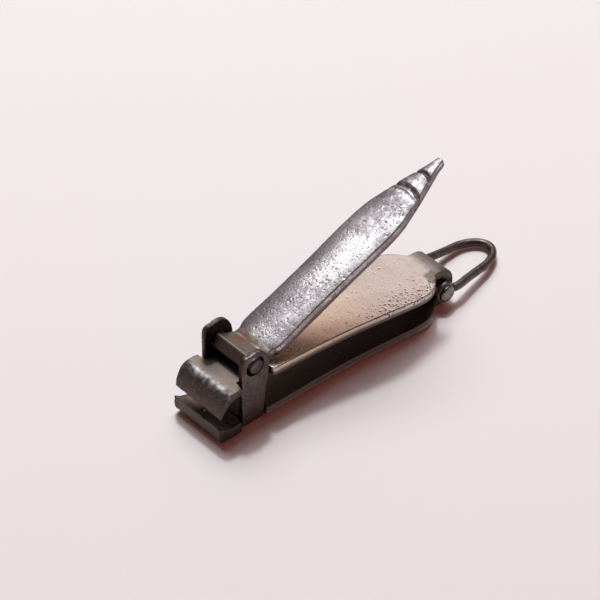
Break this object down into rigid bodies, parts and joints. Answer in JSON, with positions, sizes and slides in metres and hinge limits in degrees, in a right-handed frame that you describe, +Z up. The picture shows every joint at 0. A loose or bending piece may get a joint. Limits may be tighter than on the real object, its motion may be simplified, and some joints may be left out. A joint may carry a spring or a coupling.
{
  "type": "nail clipper",
  "caption": "Pocket nail clipper: folded spring body with two curved jaws, a stirrup yoke, a raised pressing lever on a cross pin, and a swinging wire bail on a rivet at the folded end.",
  "frame": {"origin": "under the middle of the clipper's overall length, in its middle plane, on the surface it lies on", "axes": "+X from the jaws to the bail, +Z up from the lower leaf to the lever, +Y across"},
  "size_m": [0.0632, 0.0124, 0.026],
  "materials": {
    "lower_leaf": "worn satin, browned and pitted",
    "upper_leaf": "worn satin with fine pits and light tan staining",
    "yoke": "dull, browned",
    "lever": "worn polish with dense fine pits",
    "lever_pin": "dull",
    "bail": "dull, browned wire",
    "bail_rivet": "worn satin"
  },
  "bodies": {
    "base": {"lower_leaf": "lower_leaf", "yoke": "yoke", "bail_rivet": "bail_rivet"},
    "upper_leaf": {"upper_leaf": "upper_leaf"},
    "press": {"lever_pin": "lever_pin"},
    "lever": {"lever": "lever"},
    "bail": {"bail": "bail"}
  },
  "joints": [
    {"name": "lever_press", "type": "hinge", "parent": "base", "child": "press", "pos_m": [-0.0237, 0, 0.01088], "axis": [0, 1, 0], "range_deg": [0, 23]},
    {"name": "lever_raise", "type": "hinge", "parent": "press", "child": "lever", "pos_m": [-0.0237, 0, 0.01088], "axis": [0, -1, 0], "range_deg": [0, 68]},
    {"name": "upper_leaf_flex", "type": "hinge", "parent": "base", "child": "upper_leaf", "pos_m": [0.0147, 0, 0.006], "axis": [0, -1, 0], "range_deg": [0, 2.3], "stiffness_Nm_per_rad": 12, "springref_deg": -0.57},
    {"name": "bail_swing", "type": "hinge", "parent": "base", "child": "bail", "pos_m": [0.0158, 0, 0.00295], "axis": [0, 1, 0], "range_deg": [-90, 90]}
  ],
  "couplings": [
    {"joint": "lever_press", "follows": "upper_leaf_flex", "ratio": 10}
  ]
}
